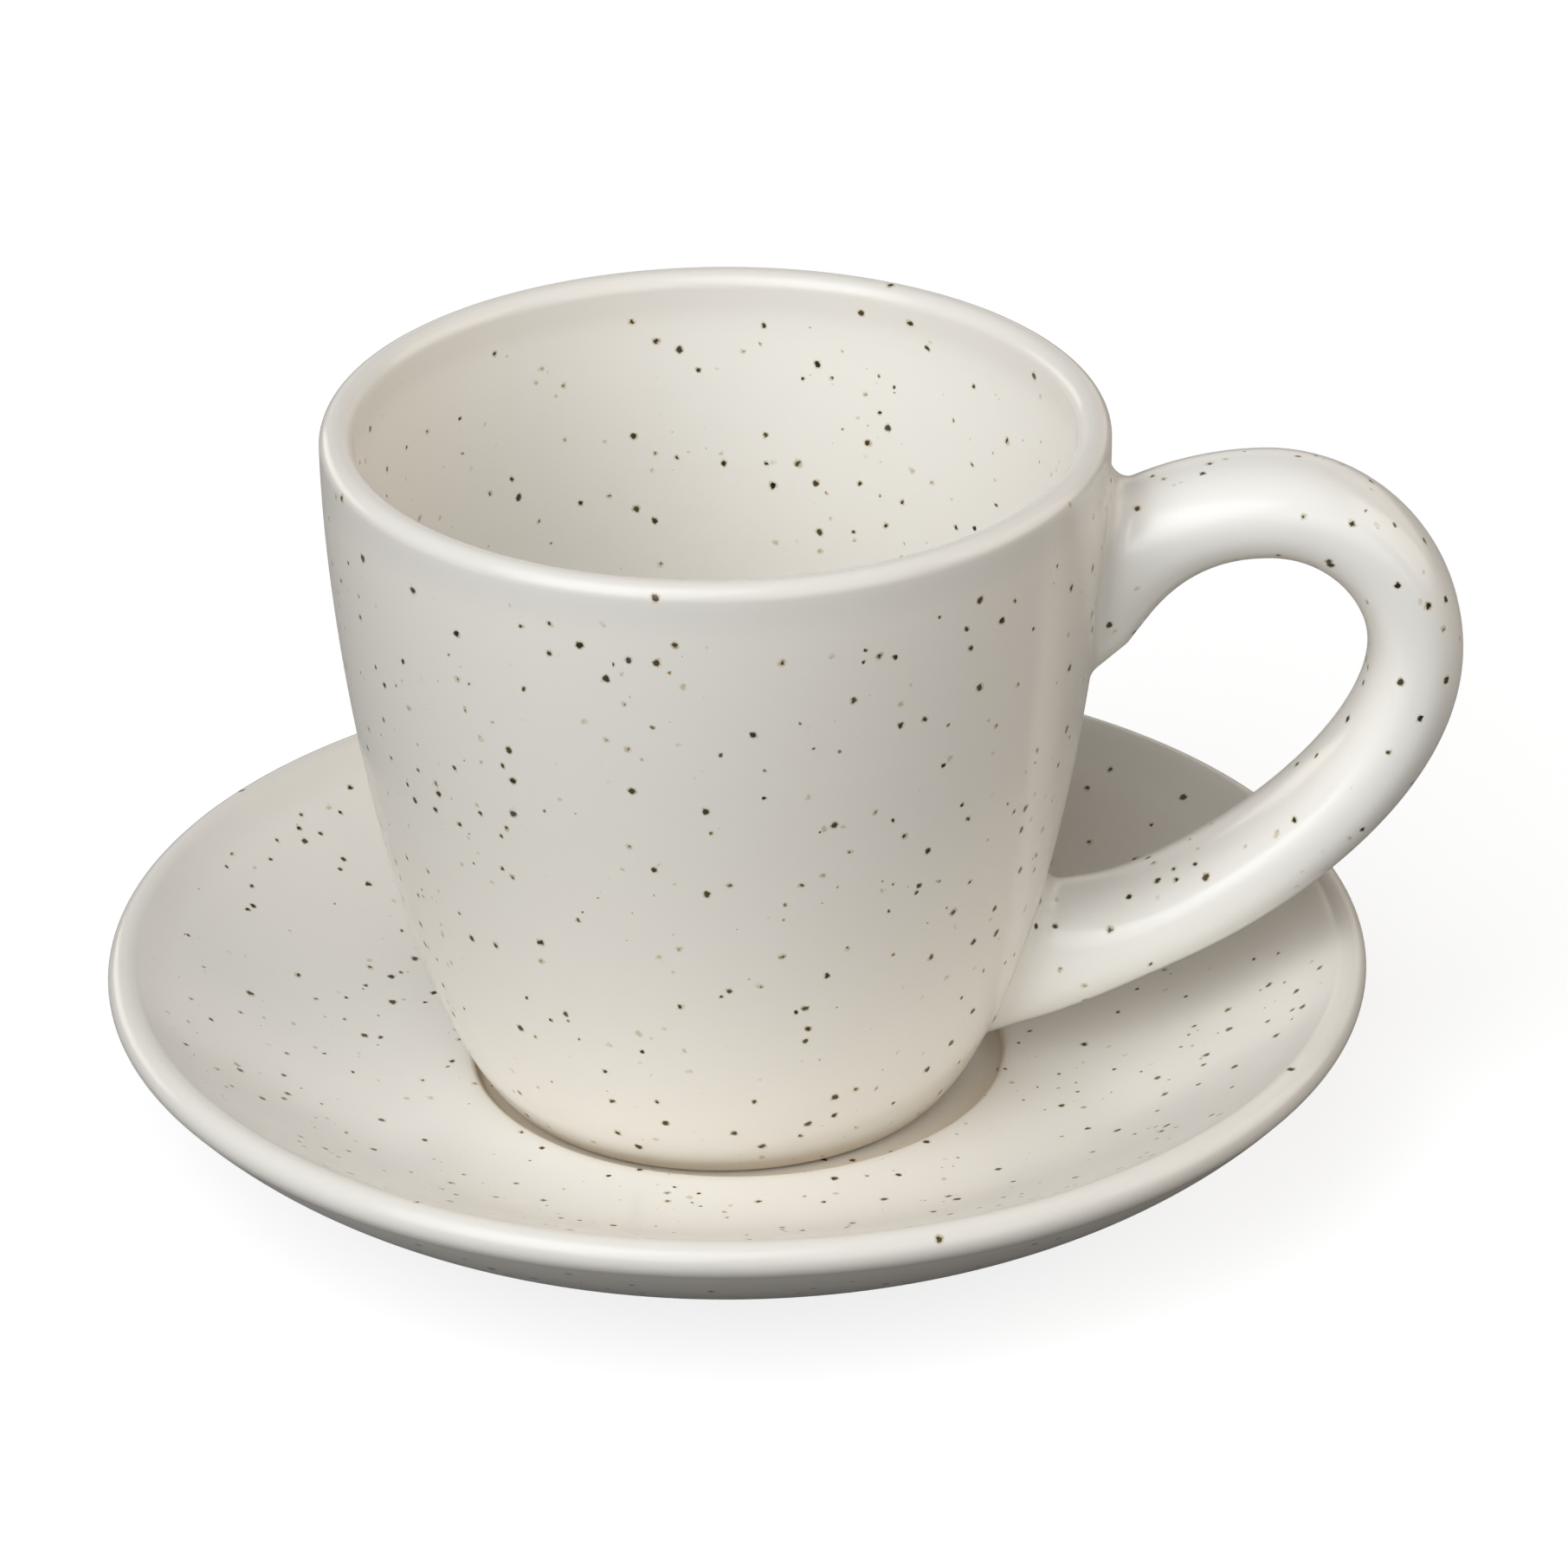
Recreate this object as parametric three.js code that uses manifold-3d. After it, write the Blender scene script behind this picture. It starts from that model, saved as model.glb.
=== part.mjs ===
// Espresso cup and saucer in glazed stoneware: a turned saucer with a shallow well, a turned cup that stands
// loose in the well, and a looped handle that is formed by itself and stuck to the cup's side with slip.
// Millimetres, +Z up. The origin is on the saucer's axis, on the table that its foot ring stands on.
// The handle points along +X.

import * as THREE from 'three';
import { mergeVertices } from 'three/addons/utils/BufferGeometryUtils.js';
import Module from 'manifold-3d';

// Saucer
const SAUCER_RADIUS = 54; // axis to the outside of the lip
const SAUCER_LIP = 3.1; // thickness of the rounded lip
const DISH_DEPTH = 10.4; // top of the lip down to the edge of the well
const DISH_THINNING = 5; // power at which the dish thins towards the lip
const WELL_DEPTH = 1.3; // edge of the well down to its floor
const WELL_PLAY = 3.2; // room round the cup's base inside the well's edge
const WELL_ROUND = 0.65; // radius of the well's edge and of the cove at its foot
const SAUCER_FLOOR = 3.1; // thickness under the well
const SAUCER_RECESS = 1.2; // table up to the recess inside the foot ring
const SAUCER_FOOT_STEP = 0.8; // table up to the underside where the dish starts to rise
const SAUCER_FOOT_RADIUS = 28; // outside of the foot ring
const SAUCER_FOOT_WIDTH = 4; // foot ring, outside to inside
const SAUCER_FOOT_ROUND = 0.5; // eased edges of the foot ring

// Cup
const CUP_HEIGHT = 61; // foot to the top of the rim
const RIM_RADIUS = 33; // axis to the outside of the rim
const RIM_THICKNESS = 2.8; // thickness of the rounded rim
const BASE_RADIUS = 20.2; // outside of the side where it turns under to the foot
const BASE_SPLAY = 40.5; // degrees that the side leans out from upright at the base
const SIDE_RIM_PULL = 19.7; // how strongly the side holds upright below the rim
const SIDE_BASE_PULL = 11.1; // how strongly the side holds its splay above the base
const CUP_FLOOR = 3.3; // thickness of the floor
const CUP_RECESS = 0.9; // depth of the recess inside the foot ring
const CUP_FOOT_ROUND = 0.8; // height over which the side turns under to the foot
const CUP_FOOT_WIDTH = 3.2; // flat ring that the cup stands on
const BOWL_FLAT = 12; // radius of the flat middle of the bowl
const BOWL_RIM_PULL = 30; // how strongly the bowl's wall holds upright below the rim
const BOWL_FLOOR_PULL = 10; // how strongly the bowl's floor holds level at its edge
const CUP_NEAR_GAP = 1.73; // room left between base and well edge on the side that the cup stands nearest to
const CUP_NEAR_SIDE = 214; // direction of that side, in degrees from the handle

// Handle, drawn as the middle line of a strap in the upright plane through the cup's axis
const HANDLE_THICKNESS = 8; // in the plane of the loop
const HANDLE_WIDTH = 12.2; // across the plane of the loop
const HANDLE_SQUARENESS = 2.6; // 2 is an oval section, more is squarer
const UPPER_ROOT_DROP = 14; // rim down to the middle of the upper root
const UPPER_ROOT_RISE = 41.5; // degrees at which the upper arm climbs away from the cup
const UPPER_ROOT_PULL = 5;
const CREST_DROP = 8.4; // rim down to the highest point of the middle line
const CREST_OUT = 13; // rim out to that point
const CREST_INNER_PULL = 5.8;
const CREST_OUTER_PULL = 7.1;
const BELLY_DROP = 21.9; // rim down to the furthest point of the middle line
const BELLY_OUT = 25.8; // rim out to that point
const BELLY_UPPER_PULL = 7.2;
const BELLY_LOWER_PULL = 13.5;
const LOWER_ROOT_HEIGHT = 10.9; // foot up to the middle of the lower root
const LOWER_ROOT_RISE = 2.6; // degrees at which the lower arm climbs away from the cup
const LOWER_ROOT_PULL = 12.6;
const UPPER_ROOT_SWELL = 2.2; // extra half thickness of the strap at the upper root
const LOWER_ROOT_SWELL = 3.1; // and at the lower root
const ROOT_SET = 2.5; // depth inside the cup's side at which that swelling is full
const ROOT_RUN = 16; // length over which it dies away from there
const ROOT_FILLET = 1.6; // radius of the slip worked into the corner round each root
const SLIP_JOINT = 0.3; // layer of slip between the handle and the cup's side

// Fineness of the facets
const TURN_STEPS = 56; // round the axis
const SIDE_STEPS = 13; // along a long curve of a turned profile
const LIP_STEPS = 6; // round a lip
const EDGE_STEPS = 3; // round a small edge
const STRAP_SIDES = 24; // round the handle's section
const ROOT_RINGS = 11; // along each root of the handle
const LOOP_RINGS = 20; // along the rest of the handle

const SAME_POINT = 1e-6; // points closer than this are one point

const QUARTER_TURN = Math.PI / 2;
const CLAY = { color: 0xe8e2d6, roughness: 0.28, metalness: 0 };

const wellEdge = SAUCER_RECESS + SAUCER_FLOOR + WELL_DEPTH;
const wellFloor = SAUCER_RECESS + SAUCER_FLOOR;
const wellRadius = BASE_RADIUS + WELL_PLAY;
const bowlFloor = CUP_RECESS + CUP_FLOOR;
const rimCentre = CUP_HEIGHT - RIM_THICKNESS / 2;

const wasm = await Module();
wasm.setup();

function point(radius, height) {
  return new THREE.Vector2(radius, height);
}

function polar(centre, radius, angle) {
  return point(centre.x + radius * Math.cos(angle), centre.y + radius * Math.sin(angle));
}

// Points of an arc about a centre, both ends included.
function arc(centre, radius, from, to, steps) {
  return Array.from({ length: steps + 1 }, (_, i) => polar(centre, radius, from + ((to - from) * i) / steps));
}

// A profile of radius and height turned round the upright axis. It is listed from the middle of the top, out
// over the edge and back underneath.
function turned(profile) {
  const spaced = profile.filter((p, i) => i === 0 || p.distanceTo(profile[i - 1]) > SAME_POINT);
  return new THREE.LatheGeometry(spaced.reverse(), TURN_STEPS).rotateX(QUARTER_TURN);
}

function solidOf(geometry) {
  const bare = geometry.clone().deleteAttribute('normal').deleteAttribute('uv');
  const merged = mergeVertices(bare);
  return new wasm.Manifold(new wasm.Mesh({
    numProp: 3,
    vertProperties: new Float32Array(merged.attributes.position.array),
    triVerts: new Uint32Array(merged.index.array),
  }));
}

function geometryOf(solid) {
  const mesh = solid.getMesh();
  const geometry = new THREE.BufferGeometry();
  geometry.setAttribute('position', new THREE.BufferAttribute(mesh.vertProperties, 3));
  geometry.setIndex(new THREE.BufferAttribute(mesh.triVerts, 1));
  return geometry;
}

// The saucer's dish is a band that follows an arc, level at the well and rising to the lip, and thins on the way.
function saucerProfile() {
  const lip = point(SAUCER_RADIUS - SAUCER_LIP / 2, wellEdge + DISH_DEPTH - SAUCER_LIP / 2);
  const start = point(wellRadius, (wellEdge + SAUCER_FOOT_STEP) / 2);
  const out = lip.x - start.x;
  const up = lip.y - start.y;
  const sweep = (out * out + up * up) / (2 * up);
  const centre = point(start.x, start.y + sweep);
  const end = Math.asin(out / sweep);
  const band = (turn, side) => {
    const thinning = 1 - (turn / end) ** DISH_THINNING;
    const half = (SAUCER_LIP + (wellEdge - SAUCER_FOOT_STEP - SAUCER_LIP) * thinning) / 2;
    return polar(centre, sweep + side * half, turn - QUARTER_TURN);
  };
  const run = (from, to, side) =>
    Array.from({ length: SIDE_STEPS }, (_, i) => band(from + ((to - from) * i) / (SIDE_STEPS - 1), side));

  const round = Math.min(WELL_ROUND, WELL_DEPTH / 2);
  const cove = point(wellRadius - 2 * round, wellFloor + round);
  const brink = point(wellRadius, wellEdge - round);
  const well = [
    point(0, wellFloor),
    ...arc(cove, round, -QUARTER_TURN, 0, EDGE_STEPS),
    ...arc(brink, round, Math.PI, QUARTER_TURN, EDGE_STEPS),
  ];

  const lipFrom = end + QUARTER_TURN;
  const lipRound = arc(lip, SAUCER_LIP / 2, lipFrom, lipFrom - Math.PI, LIP_STEPS);

  const footTurn = Math.asin((SAUCER_FOOT_RADIUS - wellRadius) / sweep);
  const footInside = SAUCER_FOOT_RADIUS - SAUCER_FOOT_WIDTH;
  const outer = point(SAUCER_FOOT_RADIUS - SAUCER_FOOT_ROUND, SAUCER_FOOT_ROUND);
  const inner = point(footInside + SAUCER_FOOT_ROUND, SAUCER_FOOT_ROUND);
  const foot = [
    ...arc(outer, SAUCER_FOOT_ROUND, 0, -QUARTER_TURN, EDGE_STEPS),
    ...arc(inner, SAUCER_FOOT_ROUND, -QUARTER_TURN, -Math.PI, EDGE_STEPS),
    point(footInside, SAUCER_RECESS),
    point(0, SAUCER_RECESS),
  ];
  return [...well, ...run(0, end, -1).slice(1), ...lipRound, ...run(end, footTurn, 1).slice(1), ...foot];
}

// The cup's outside, from the rim down to the base: upright at the rim and splayed at the base.
function sideCurve() {
  const splay = THREE.MathUtils.degToRad(BASE_SPLAY);
  const rim = point(RIM_RADIUS, rimCentre);
  const base = point(BASE_RADIUS, CUP_FOOT_ROUND);
  const rimPull = point(rim.x, rim.y - SIDE_RIM_PULL);
  const basePull = point(base.x + SIDE_BASE_PULL * Math.sin(splay), base.y + SIDE_BASE_PULL * Math.cos(splay));
  return new THREE.CubicBezierCurve(rim, rimPull, basePull, base);
}

const side = sideCurve();

// Radius of the cup's side at a height, and its lean from upright there.
function sideAt(height) {
  let above = 0;
  let below = 1;
  while (below - above > SAME_POINT) {
    const middle = (above + below) / 2;
    if (side.getPoint(middle).y > height) above = middle;
    else below = middle;
  }
  const down = side.getTangent(below);
  return { radius: side.getPoint(below).x, lean: Math.atan2(-down.x, -down.y) };
}

function cupProfile() {
  const splay = THREE.MathUtils.degToRad(BASE_SPLAY);
  const turnUnder = point(BASE_RADIUS - CUP_FOOT_ROUND * Math.tan(splay), 0);
  const footOutside = point(turnUnder.x - CUP_FOOT_ROUND / Math.cos(splay), 0);
  const footInside = footOutside.x - CUP_FOOT_WIDTH;
  const foot = new THREE.QuadraticBezierCurve(point(BASE_RADIUS, CUP_FOOT_ROUND), turnUnder, footOutside);

  const rim = point(RIM_RADIUS - RIM_THICKNESS / 2, rimCentre);
  const inside = RIM_RADIUS - RIM_THICKNESS;
  const bowl = new THREE.CubicBezierCurve(
    point(BOWL_FLAT, bowlFloor),
    point(BOWL_FLAT + BOWL_FLOOR_PULL, bowlFloor),
    point(inside, rimCentre - BOWL_RIM_PULL),
    point(inside, rimCentre),
  );
  return [
    point(0, bowlFloor),
    ...bowl.getPoints(SIDE_STEPS),
    ...arc(rim, RIM_THICKNESS / 2, Math.PI, 0, LIP_STEPS),
    ...side.getPoints(SIDE_STEPS),
    ...foot.getPoints(EDGE_STEPS),
    point(footInside, 0),
    point(footInside - CUP_RECESS, CUP_RECESS),
    point(0, CUP_RECESS),
  ];
}

// The space that the cup fills up to its rim, grown by the slip joint: what a root of the handle is cut to.
function cupBlank() {
  const wall = side.getPoints(SIDE_STEPS).map((p) => point(p.x + SLIP_JOINT, p.y));
  return turned([point(0, rimCentre), ...wall, point(0, CUP_FOOT_ROUND)]);
}

// The handle's middle line in the plane of the loop: x is the reach from the cup's axis, y the height.
// It runs on straight inside the cup at both ends, far enough to bury the whole root.
function handleLine() {
  const buried = HANDLE_THICKNESS + Math.max(UPPER_ROOT_SWELL, LOWER_ROOT_SWELL);
  const along = (from, degrees, length) => polar(from, length, THREE.MathUtils.degToRad(degrees));
  const upperHeight = CUP_HEIGHT - UPPER_ROOT_DROP;
  const upper = point(sideAt(upperHeight).radius, upperHeight);
  const crest = point(RIM_RADIUS + CREST_OUT, CUP_HEIGHT - CREST_DROP);
  const belly = point(RIM_RADIUS + BELLY_OUT, CUP_HEIGHT - BELLY_DROP);
  const lower = point(sideAt(LOWER_ROOT_HEIGHT).radius, LOWER_ROOT_HEIGHT);

  const path = new THREE.CurvePath();
  path.add(new THREE.LineCurve(along(upper, UPPER_ROOT_RISE, -buried), upper));
  path.add(new THREE.CubicBezierCurve(
    upper,
    along(upper, UPPER_ROOT_RISE, UPPER_ROOT_PULL),
    point(crest.x - CREST_INNER_PULL, crest.y),
    crest,
  ));
  path.add(new THREE.CubicBezierCurve(
    crest,
    point(crest.x + CREST_OUTER_PULL, crest.y),
    point(belly.x, belly.y + BELLY_UPPER_PULL),
    belly,
  ));
  path.add(new THREE.CubicBezierCurve(
    belly,
    point(belly.x, belly.y - BELLY_LOWER_PULL),
    along(lower, LOWER_ROOT_RISE, LOWER_ROOT_PULL),
    lower,
  ));
  path.add(new THREE.LineCurve(lower, along(lower, LOWER_ROOT_RISE, -buried)));
  return { path, buried, length: path.getLength() };
}

// A point on the strap's skin, at a distance along the middle line and an angle round the section, with the
// direction that the section faces there. The section is a rounded rectangle that swells towards the roots.
function strapPoint(line, distance, angle) {
  const middle = line.path.getPoint(distance / line.length);
  const ahead = line.path.getTangent(distance / line.length);
  const swelling = (fromRoot) => THREE.MathUtils.clamp(1 - (fromRoot + ROOT_SET) / ROOT_RUN, 0, 1) ** 2;
  const upperSwell = UPPER_ROOT_SWELL * swelling(distance - line.buried);
  const lowerSwell = LOWER_ROOT_SWELL * swelling(line.length - line.buried - distance);
  const thick = HANDLE_THICKNESS / 2 + upperSwell + lowerSwell;
  const wide = HANDLE_WIDTH / 2;
  const across = new THREE.Vector3(-ahead.y, 0, ahead.x);
  const power = (value, exponent) => Math.sign(value) * Math.abs(value) ** exponent;
  const [soft, steep] = [2 / HANDLE_SQUARENESS, 2 - 2 / HANDLE_SQUARENESS];

  const place = new THREE.Vector3(middle.x, wide * power(Math.sin(angle), soft), middle.y);
  place.addScaledVector(across, thick * power(Math.cos(angle), soft));
  const outward = new THREE.Vector3(0, power(Math.sin(angle), steep) / wide, 0);
  outward.addScaledVector(across, power(Math.cos(angle), steep) / thick).normalize();
  return { place, outward };
}

// How far a point stands off the cup's side, and which way the side faces beside it.
function besideCup(place) {
  const radius = Math.hypot(place.x, place.y);
  const wall = sideAt(place.z);
  const level = Math.cos(wall.lean) / radius;
  const facing = new THREE.Vector3(place.x * level, place.y * level, -Math.sin(wall.lean));
  return { standoff: (radius - wall.radius) * Math.cos(wall.lean), facing };
}

// The distance along the middle line at which one long line of the strap comes out of the cup.
function rootDistance(line, angle, inside, outside) {
  let [buried, clear] = [inside, outside];
  while (Math.abs(clear - buried) > SAME_POINT) {
    const middle = (buried + clear) / 2;
    if (besideCup(strapPoint(line, middle, angle).place).standoff > 0) clear = middle;
    else buried = middle;
  }
  return clear;
}

// Slip fills the corner round a root with a round fillet. Close to the cup a point of the strap slides along the
// cup's side, by what a circle touching both surfaces adds to a corner that is open by this angle.
function filleted({ place, outward }) {
  const { standoff, facing } = besideCup(place);
  const tilt = outward.dot(facing);
  const open = Math.acos(-tilt);
  const off = THREE.MathUtils.clamp(standoff, 0, ROOT_FILLET * (1 - tilt));
  const circle = Math.sqrt(ROOT_FILLET ** 2 - (ROOT_FILLET - off) ** 2);
  const growth = ROOT_FILLET / Math.tan(open / 2) - circle - off / Math.tan(open);
  const slide = outward.clone().addScaledVector(facing, -tilt).normalize();
  return place.addScaledVector(slide, growth);
}

// One long line of the strap, from just inside the cup at the upper root to just inside it at the lower root.
// Its points stand close together at the roots and wider round the loop.
function strapLine(line, angle) {
  const reach = line.buried + ROOT_RUN;
  const from = rootDistance(line, angle, 0, reach);
  const to = rootDistance(line, angle, line.length, line.length - reach);
  const root = Array.from({ length: ROOT_RINGS }, (_, i) => ROOT_RUN * (i / ROOT_RINGS) ** 2);
  const loop = Array.from({ length: LOOP_RINGS + 1 }, (_, i) =>
    THREE.MathUtils.lerp(from + ROOT_RUN, to - ROOT_RUN, i / LOOP_RINGS));
  const distances = [
    from - ROOT_FILLET,
    ...root.map((run) => from + run),
    ...loop,
    ...root.map((run) => to - run).reverse(),
    to + ROOT_FILLET,
  ];
  return distances.map((distance) => filleted(strapPoint(line, distance, angle)));
}

// A closed skin over a row of rings, split along the shorter diagonals, with a fan of triangles at each end.
function skinOver(rings) {
  const sides = rings[0].length;
  const last = rings.length - 1;
  const middleOf = (ring) => ring.reduce((sum, p) => sum.add(p), new THREE.Vector3()).divideScalar(sides);
  const places = [...rings.flat(), middleOf(rings[0]), middleOf(rings[last])];
  const [firstMiddle, lastMiddle] = [rings.length * sides, rings.length * sides + 1];
  const index = [];
  for (let side = 0; side < sides; side += 1) {
    const next = (side + 1) % sides;
    for (let ring = 0; ring < last; ring += 1) {
      const [a, b] = [ring * sides + side, ring * sides + next];
      const [c, d] = [a + sides, b + sides];
      if (places[a].distanceTo(places[d]) < places[b].distanceTo(places[c])) index.push(a, d, b, a, c, d);
      else index.push(a, c, b, b, c, d);
    }
    index.push(firstMiddle, side, next);
    index.push(lastMiddle, last * sides + next, last * sides + side);
  }
  return new THREE.BufferGeometry().setFromPoints(places).setIndex(index);
}

function handleGeometry() {
  const line = handleLine();
  const lines = Array.from({ length: STRAP_SIDES }, (_, i) => strapLine(line, (2 * Math.PI * i) / STRAP_SIDES));
  const rings = lines[0].map((_, ring) => lines.map((long) => long[ring]));
  return geometryOf(solidOf(skinOver(rings)).subtract(solidOf(cupBlank())));
}

function piece(name, geometry) {
  const mesh = new THREE.Mesh(geometry, new THREE.MeshStandardMaterial(CLAY));
  mesh.name = name;
  return mesh;
}

// The cup stands on the floor of the well, pushed towards one side of it.
const cup = new THREE.Group();
const near = THREE.MathUtils.degToRad(CUP_NEAR_SIDE);
const push = WELL_PLAY - CUP_NEAR_GAP;
cup.position.set(push * Math.cos(near), push * Math.sin(near), wellFloor);
cup.add(piece('cup_body', turned(cupProfile())));
cup.add(piece('handle', handleGeometry()));

const set = new THREE.Group();
set.add(piece('saucer', turned(saucerProfile())));
set.add(cup);

export default set;
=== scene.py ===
# %% [markdown]
# # An espresso cup and saucer in speckled stoneware
# The set is three pieces of fired clay under one glaze: a turned saucer, a turned cup, and a looped
# handle that is formed by itself and stuck to the cup with slip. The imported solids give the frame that
# everything stands in. They are faceted, so each one is replaced here by a smooth surface of the same
# size, and the glaze is made from nodes.

# %% The frame
import math

import bpy
import numpy as np
from mathutils import Matrix, Vector


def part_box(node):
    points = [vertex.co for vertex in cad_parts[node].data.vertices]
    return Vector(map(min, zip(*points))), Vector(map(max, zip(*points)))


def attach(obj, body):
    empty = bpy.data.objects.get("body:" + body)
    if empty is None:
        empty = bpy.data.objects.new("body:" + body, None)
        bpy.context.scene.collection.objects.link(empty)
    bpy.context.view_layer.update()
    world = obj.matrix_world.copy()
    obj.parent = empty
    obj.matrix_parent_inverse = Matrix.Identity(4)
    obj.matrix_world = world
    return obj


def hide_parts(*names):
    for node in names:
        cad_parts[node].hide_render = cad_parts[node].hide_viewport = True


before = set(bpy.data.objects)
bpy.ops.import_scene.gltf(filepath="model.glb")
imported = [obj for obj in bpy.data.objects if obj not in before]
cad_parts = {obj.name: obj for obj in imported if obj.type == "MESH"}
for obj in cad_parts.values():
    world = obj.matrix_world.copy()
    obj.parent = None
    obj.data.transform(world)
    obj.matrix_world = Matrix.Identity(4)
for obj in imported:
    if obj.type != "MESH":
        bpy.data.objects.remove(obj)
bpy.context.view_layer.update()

MM = 0.001
scene = bpy.context.scene
scene.view_settings.view_transform = "Standard"
for name in sorted(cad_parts):
    low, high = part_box(name)
    print(name, "measures", [round((b - a) / MM, 1) for a, b in zip(low, high)], "mm")

# %% [markdown]
# ## The camera
# The picture was taken with a long lens from the front and a little above. A camera can be placed by eye,
# but round edges say more: the rim, the lip and the well are circles in the real set, so the ellipses that
# they make in the picture give the distance, the tilt and the focal length. Those values are written down
# here. The three columns of the camera's turn are the directions of its right side, its top and its back.

# %% The camera
PICTURE_SIDE = 1811  # pixels across the square picture
FOCAL_PIXELS = 9594
SENSOR_WIDTH = 36.0
CAMERA_PLACE = Vector((0, -631.3, 349.5)) * MM
YAW, PITCH, ROLL = (math.radians(angle) for angle in (0.38, 26.79, -0.61))

ahead = Vector((math.sin(YAW) * math.cos(PITCH), math.cos(YAW) * math.cos(PITCH), -math.sin(PITCH)))
level = Vector((math.cos(YAW), -math.sin(YAW), 0))
upward = level.cross(ahead)
right = level * math.cos(ROLL) + upward * math.sin(ROLL)
top = upward * math.cos(ROLL) - level * math.sin(ROLL)

camera_data = bpy.data.cameras.new("camera")
camera_data.sensor_fit = "HORIZONTAL"
camera_data.sensor_width = SENSOR_WIDTH
camera_data.lens = SENSOR_WIDTH * FOCAL_PIXELS / PICTURE_SIDE
camera_data.clip_start = 0.01
camera = bpy.data.objects.new("camera", camera_data)
camera.matrix_world = Matrix.Translation(CAMERA_PLACE) @ Matrix((right, top, -ahead)).transposed().to_4x4()
scene.collection.objects.link(camera)
scene.camera = camera
print("lens", round(camera_data.lens, 1), "mm")

# %% [markdown]
# ## Skins over grids
# Every piece here is a closed skin over a grid of points: rows that run from one end of the piece to the
# other, and columns that go round it. A modelling operator such as Spin or a curve with a bevel could make
# the same shapes, but with whole arrays the thickness, the fillets and any extra value per point stay under
# control. The first and last rows are closed by a fan to their middle point. The signed volume tells which
# way the faces point, and they are turned round if it is negative.

# %% A closed skin over a grid of points
def grid_skin(name, grid, values=None):
    """Mesh over grid[row, column]: columns close into rings, and the end rows close onto their middle points.

    values maps an attribute's name to one number per row and column."""
    rows, columns = grid.shape[:2]
    points = np.concatenate([grid.reshape(-1, 3), grid[:1].mean(axis=1), grid[-1:].mean(axis=1)])
    number = np.arange(rows * columns).reshape(rows, columns)
    beside = np.roll(number, -1, axis=1)
    quads = np.stack([number[:-1], beside[:-1], beside[1:], number[1:]], axis=-1).reshape(-1, 4)
    first = np.full(columns, rows * columns)
    fans = np.concatenate([
        np.stack([first, beside[0], number[0]], axis=-1),
        np.stack([first + 1, number[-1], beside[-1]], axis=-1),
    ])

    triangles = np.concatenate([quads[:, :3], quads[:, [0, 2, 3]], fans])
    corner = points[triangles]
    volume = np.einsum("ij,ij->i", corner[:, 0], np.cross(corner[:, 1], corner[:, 2])).sum() / 6
    if volume < 0:
        quads, fans = quads[:, ::-1], fans[:, ::-1]

    mesh = bpy.data.meshes.new(name)
    mesh.from_pydata(points, [], quads.tolist() + fans.tolist())
    mesh.polygons.foreach_set("use_smooth", np.ones(len(mesh.polygons), bool))
    for title, value in (values or {}).items():
        value = np.broadcast_to(value, (rows, columns))
        ends = [value[0].mean(), value[-1].mean()]
        attribute = mesh.attributes.new(title, "FLOAT", "POINT")
        attribute.data.foreach_set("value", np.append(value.ravel(), ends).astype(np.float32))
    mesh.update()
    piece = bpy.data.objects.new(name, mesh)
    scene.collection.objects.link(piece)
    print(name, "has", len(triangles), "triangles and", round(abs(volume) * 1e6, 1), "ml of clay")
    return piece


# %% [markdown]
# ## Turned forms
# A potter's wheel turns a profile into a round piece, and so does this: each point of the profile has a
# radius and a height, and the surface is (r cos a, r sin a, h) for a full turn of the angle a. The profiles
# are put together from arcs and cubic curves, because those are the shapes that a turning tool and a finger
# leave.

# %% Profiles and turning
TURNS = 224  # columns round a turned piece
INNERMOST = 1.5  # radius in millimetres of the ring next to the axis


def arc(centre, radius, start, end, count):
    """Points (centre + radius * (cos a, sin a)) for a from start to end, in degrees."""
    angle = np.radians(np.linspace(start, end, count))
    return np.array(centre) + radius * np.stack([np.cos(angle), np.sin(angle)], axis=-1)


def cubic(corners, count):
    """Cubic curve: four corners weighted by (1-t)^3, 3t(1-t)^2, 3t^2(1-t) and t^3."""
    t = np.linspace(0, 1, count)[:, None]
    a, b, c, d = np.array(corners, float)
    return a * (1 - t) ** 3 + 3 * b * t * (1 - t) ** 2 + 3 * c * t * t * (1 - t) + d * t ** 3


def straight(start, end, count):
    """Evenly spaced points from start to end."""
    return np.linspace(np.array(start, float), np.array(end, float), count)


def joined(*runs):
    """One profile from several runs of points, with repeated points left out."""
    profile = np.concatenate(runs)
    moved = np.linalg.norm(np.diff(profile, axis=0), axis=1) > 1e-6
    return profile[np.append(True, moved)]


def turned(profile, centre):
    """Grid of a profile (radius, height) in millimetres, turned round an upright axis at centre."""
    angle = np.linspace(0, 2 * np.pi, TURNS, endpoint=False)
    radius, height = profile[:, :1], profile[:, 1:]
    x = centre[0] + radius * np.cos(angle)
    y = centre[1] + radius * np.sin(angle)
    z = centre[2] + height + 0 * angle
    return np.stack([x, y, z], axis=-1) * MM


def between(value, start, end):
    """Smooth step of value, from 0 at start to 1 at end."""
    t = np.clip((value - start) / (end - start), 0, 1)
    return t * t * (3 - 2 * t)
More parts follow.
